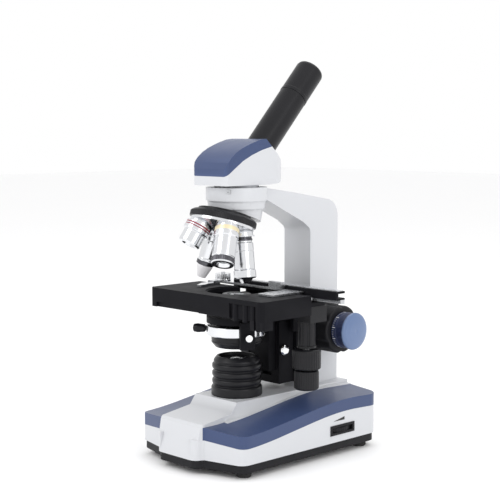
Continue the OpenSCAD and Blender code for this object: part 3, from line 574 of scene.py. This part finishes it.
def make_nosepiece():
    turned("nosepiece_ring", [(26, -59.4), (26, -52.4), (27.8, -52.4), (30.4, -54.4), (30.4, -58.8), (29.9, -59.4)],
           TURRET, "nosepiece", [BLACK_SATIN], "turret_ring", closed=True, steps=720,
           flutes=((-58.9, -54.6, 29.9, 120, 0.28, 1.5),))
    cast("turret_cone", "nosepiece_plate", [SATIN_CHROME], rules=((0.4, 2, outward),))
    metals = [SATIN_CHROME, GUNMETAL, GOLD_BAND, RED_BAND, IVORY]
    turned("objective_four", [(6, -65), (9, -65), (10, -66), (10, -69.9), (12.1, -70), (12.1, -70.9), (11.7, -71.1),
                              (11.7, -72.2), (12.1, -72.4), (12.1, -73.2), (11.7, -73.4), (11.7, -74.2),
                              (12.1, -74.4), (12.1, -77.2), (11.6, -77.7), (10.4, -78), (10.4, -78.8), (10.2, -79),
                              (10.2, -88.6), (9.4, -90), (6.4, -90), (5.4, -87), (5.4, -68), (6, -68)],
           objective_frame(2), "nosepiece", metals, "objective_4x", closed=True, ease=0.2, steps=240,
           bands=((-72.2, -71.1, 11, 3), (-74.2, -73.4, 11, 3)))
    turned("objective_ten", [(6, -65), (9, -65), (10, -66), (10, -69.9), (10.9, -70), (10.9, -71.6), (10.9, -73.6),
                             (10.5, -74), (11.2, -74.6), (11.2, -78.2), (10.3, -79.2), (10.3, -97), (9.7, -97.4),
                             (9.7, -98), (10.4, -98.4), (10.4, -102.6), (9.6, -104), (6.6, -104), (4.6, -101),
                             (4.6, -68), (6, -68)],
           objective_frame(1), "nosepiece", metals, "objective_10x", closed=True, ease=0.2, steps=240,
           flutes=((-102.8, -98.3, 10.1, 40, 0.3, 1.5),),
           bands=((-73.7, -70, 10.6, 2), (-102.7, -98.2, 10.1, 1)))
    turned("objective_forty", [(5, -65), (9, -65), (10, -66), (10, -69.9), (11.2, -70), (11.2, -71.2), (8.6, -71.5),
                               (8.6, -72.8), (9.1, -73.2), (9.1, -74.4), (8.6, -74.8), (8.6, -76.2), (9.6, -76.8),
                               (9.6, -83.4), (9.35, -83.6), (9.35, -84.2), (9.6, -84.4),
                               (9.6, -100), (9.2, -100.4), (10.3, -101.2), (10.3, -107.4), (9.6, -108.4),
                               (7, -108.8), (4.6, -112.9), (2.4, -112.9), (1.6, -112.3), (1.6, -109), (4, -104),
                               (4, -68), (5, -68)],
           objective_frame(0), "nosepiece", metals, "objective_40x", closed=True, ease=0.2, steps=240,
           bands=((-74.8, -71.5, 8.4, 1),))
    turned("objective_hundred", [(5, -65), (9, -65), (10, -66), (10, -69.9), (10.6, -70), (10.6, -73), (9.6, -73.6),
                                 (9.6, -77.4), (8.2, -78.4), (7.8, -94.6), (7.5, -94.8), (7.5, -95.2),
                                 (7.8, -95.4), (7.7, -97.4), (8.4, -97.8), (8.4, -101), (7.6, -101.6),
                                 (7.4, -103.6), (4, -113.5), (1.9, -113.5), (1.2, -113), (1.2, -110), (3.6, -104),
                                 (3.6, -68), (5, -68)],
           objective_frame(3), "nosepiece", metals, "objective_100x", closed=True, ease=0.2, steps=240,
           bands=((-101.2, -97.5, 7.9, 1), (-113.6, -101.8, 1.5, 4)))
    soften("front_lenses", 0.1)


make_nosepiece()

# ---------------------------------------------------------------- focus


def make_focus():
    soften("focus_slide", 0.3)
    soften("focus_rack", 0.08)
    soften("stage_bracket", 0.8, 3, material=BLACK)
    soften("stage_plate", 0.5, material=BLACK)
    soften("y_rack", 0.05)
    soften("coarse_shaft", 0.15)
    soften("fine_shaft", 0.15)
    pivot = Matrix.Translation(Vector(JOINTS["coarse_knobs"]["pos_m"])) @ ALONG_X @ Matrix.Scale(MM, 4)
    for side, place in (("right", pivot), ("left", pivot @ turn_x(180))):
        turned(f"coarse_grip_{side}", [(5.02, 25.6), (18, 25.6), (20.6, 26.6), (22, 27.6), (22.5, 28.6),
                                       (22.5, 47.4), (22.2, 48.2), (21, 49.2), (15.2, 49.2), (15.2, 46.6),
                                       (5.02, 46.6)], place @ turn_z(30), "coarse_drive", [BLACK_PLASTIC],
               f"coarse_knob_{side}", closed=True, steps=480, ease=0.4,
               flutes=((27, 49.3, 20.5, 6, 1.6, 5), (28.7, 47.2, 21.9, 120, 0.16, 1)))
        turned(f"fine_grip_{side}", [(2.52, 49.6), (16.2, 49.6), (16.8, 50.1), (16.8, 54.8), (16.3, 55.3),
                                     (16.6, 56.1), (17, 62.5), (17.4, 63), (17.4, 63.8), (16.5, 64.9), (13.9, 65.8),
                                     (8.7, 66.45), (4, 66.65), (0, 66.7), (0, 60.2), (2.52, 60.2)], place,
               "fine_drive", [BLACK_SATIN, KNOB_BLUE, CAP_BLUE], f"fine_knob_{side}", steps=360, ease=0.3,
               flutes=((56.3, 62.3, 16.5, 72, 0.3, 1.5),),
               bands=((49.5, 62.9, 15, 1), (62.9, 67, -1, 2)))
        dial_ticks(side, place)


def dial_ticks(side, place):
    """White lines round the fine knob's dial, every fifth one long and broad."""
    work = bmesh.new()
    for i in range(50):
        length, width = (3.4, 0.8) if i % 5 == 0 else (2.0, 0.3)
        add_bar(work, (16.76, 0, 50.8 + length / 2), (0.16, width, length), turn_z(7.2 * i + 3.6))
    work.transform(place)
    piece(f"dial_lines_{side}", closed_mesh("dial", work), "fine_drive", [MARK_WHITE])


make_focus()

# ---------------------------------------------------------------- stage


def scale_marks():
    """The dark lines of the stage scale, every fifth one long."""
    work = bmesh.new()
    for x in range(-24, 93, 2):
        length = 4.4 if x % 10 == 0 else 2.0
        add_bar(work, (x + 0.175, 30.6 + length / 2, 158.65), (0.3, length, 0.28))
    work.transform(bench_frame(0, 0, 0))
    piece("scale_marks", closed_mesh("scale", work), "slide_carrier", [MARK_BLACK])


def make_stage():
    scale_marks()
    cast("stage_top", "stage_casting", [BLACK], rules=((0.6, 3, outward),))
    soften("bar_guide", 0.4, material=BLACK)
    soften("control_housing", 0.4, material=BLACK_SATIN)
    soften("y_shaft", 0.2)
    soften("x_shaft", 0.2)
    place = bench_frame(58, 31.5, 0)
    turned("stage_y_grip", [(4.02, 84.6), (11.5, 84.6), (13, 85.6), (13.1, 86.4), (13.1, 101.2), (12.7, 102.4),
                            (11.5, 103), (4.02, 103)], place, "y_drive", [BLACK_SATIN], "y_knob", closed=True,
           steps=384, flutes=((86, 101.6, 12.8, 32, 0.3, 2.5),), ease=0.35)
    turned("stage_x_grip", [(0, 66.6), (6, 66.6), (7, 66), (9.8, 66), (11.2, 67.2), (11.3, 68), (11.3, 82),
                            (10.9, 83), (10, 83.6), (2.52, 83.6), (2.52, 68), (0, 68)], place, "x_drive",
           [BLACK_SATIN], "x_knob", steps=384, flutes=((67.6, 82.4, 11, 32, 0.3, 2.5),), ease=0.35)
    soften("x_bar", 0.3, material=BLACK)
    soften("x_rack", 0.05)
    soften("scale_strip", 0.05)
    soften("slide_holder", 0.25)
    soften("clip_finger", 0.25)


def make_condenser():
    soften("condenser_carrier", 0.4, material=BLACK)
    turned("condenser_barrel", [(12, 102), (19.6, 102), (23.2, 106.4), (23.2, 107.4), (22.8, 107.7), (22.8, 108.1),
                                (23.2, 108.4), (23.2, 112.3), (26.8, 112.9), (27.6, 113.7),
                                (27.6, 121.6), (26.8, 122.4), (19, 122.4), (18, 124), (18, 139), (13.4, 142),
                                (13.4, 149.8), (12.9, 150.4), (9, 150.4), (9, 148), (12, 146), (12, 140), (15, 136),
                                (15, 122), (19, 119), (19, 106), (12, 106)], bench_frame(0, 0, 0), "condenser",
           [SATIN_CHROME, BLACK_SATIN], "condenser_body", closed=True, steps=240, ease=0.3,
           bands=((101, 112.5, 11, 1), (139.2, 151, 8, 1)))
    soften("condenser_lens", 0.2)
    soften("condenser_screw", 0.3, material=CHROME)
    soften("condenser_shaft", 0.15, material=CHROME)
    soften("condenser_knob", 0.3)
    soften("iris_lever", 0.2)


make_stage()
make_condenser()
